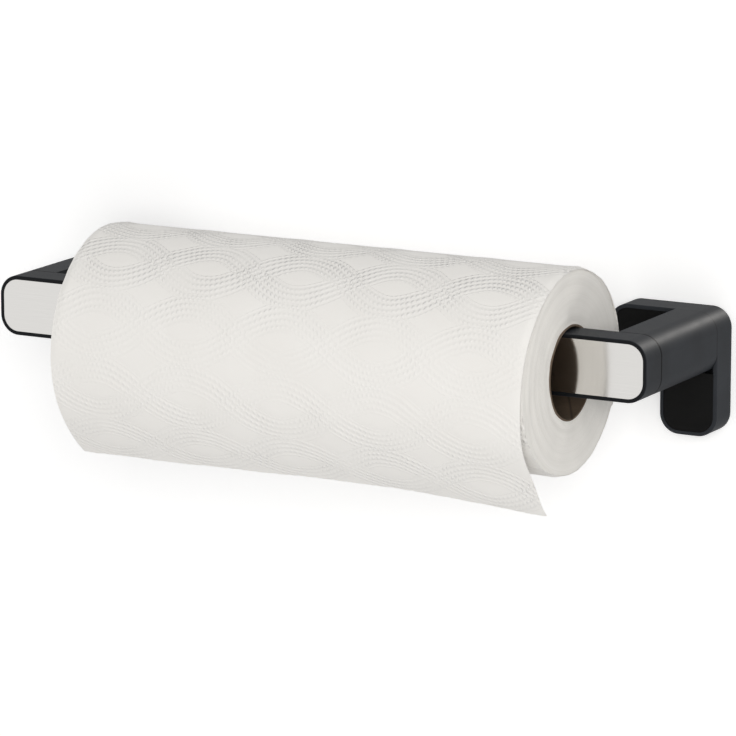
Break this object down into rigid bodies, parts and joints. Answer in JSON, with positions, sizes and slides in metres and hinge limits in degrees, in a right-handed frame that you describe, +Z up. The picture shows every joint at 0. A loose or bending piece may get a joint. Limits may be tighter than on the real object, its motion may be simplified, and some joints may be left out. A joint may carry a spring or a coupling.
{
  "type": "paper towel holder",
  "caption": "Wall-mounted paper towel holder: a lift-up bar with a steel face on two arms with inverted-L wall plates, carrying a towel roll with its loose sheet hanging.",
  "frame": {"origin": "on the wall plane, midway between the two upper wall-screw holes, at the height of the bar's centre line", "axes": "+X along the bar to the right as seen from the room, +Y into the wall, +Z up"},
  "size_m": [0.39, 0.1566, 0.1223],
  "materials": {
    "black_plastic": "fine satin moulding texture",
    "cover_plastic": "very dark matte moulding",
    "steel_face": "fine grain along the bar, nearly polished",
    "zinc_screw": "zinc plated",
    "brass": "machined",
    "nylon": "natural nylon",
    "aluminium": "mill finish",
    "foam": "closed-cell foam",
    "adhesive": "double-sided adhesive pad",
    "cardboard": "spiral-wound kraft board",
    "towel_paper": "embossed soft white towel"
  },
  "bodies": {
    "brackets": {"wall_base_left": "black_plastic", "wall_base_right": "black_plastic", "wall_cover_left": "cover_plastic", "wall_cover_right": "cover_plastic", "wall_gasket_left": "foam", "wall_gasket_right": "foam", "arm_left": "black_plastic", "arm_right": "black_plastic", "arm_screws_left": "zinc_screw", "arm_screws_right": "zinc_screw", "pivot_bush": "nylon", "catch_stud": "zinc_screw", "catch_nut": "zinc_screw"},
    "bar": {"bar_shell": "black_plastic", "bar_spine": "aluminium", "bar_back_cover": "black_plastic", "bar_cover_screws": "zinc_screw", "face_adhesive": "adhesive", "steel_face": "steel_face", "pivot_insert": "brass", "pivot_screw": "zinc_screw", "pivot_washer": "zinc_screw", "catch_liner": "nylon"},
    "loose_end": {"loose_sheet": "towel_paper"},
    "roll": {"core_tube": "cardboard", "paper_roll": "towel_paper"}
  },
  "joints": [
    {"name": "bar_lift", "type": "hinge", "parent": "brackets", "child": "bar", "pos_m": [-0.18275, -0.0866, 0], "axis": [0, -1, 0], "range_deg": [0, 90]},
    {"name": "roll_shift", "type": "slide", "parent": "bar", "child": "loose_end", "axis": [1, 0, 0], "range_m": [-0.03, 0.016]},
    {"name": "roll_spin", "type": "hinge", "parent": "loose_end", "child": "roll", "pos_m": [0.0088, -0.096, -0.00575], "axis": [1, 0, 0], "continuous": true}
  ]
}
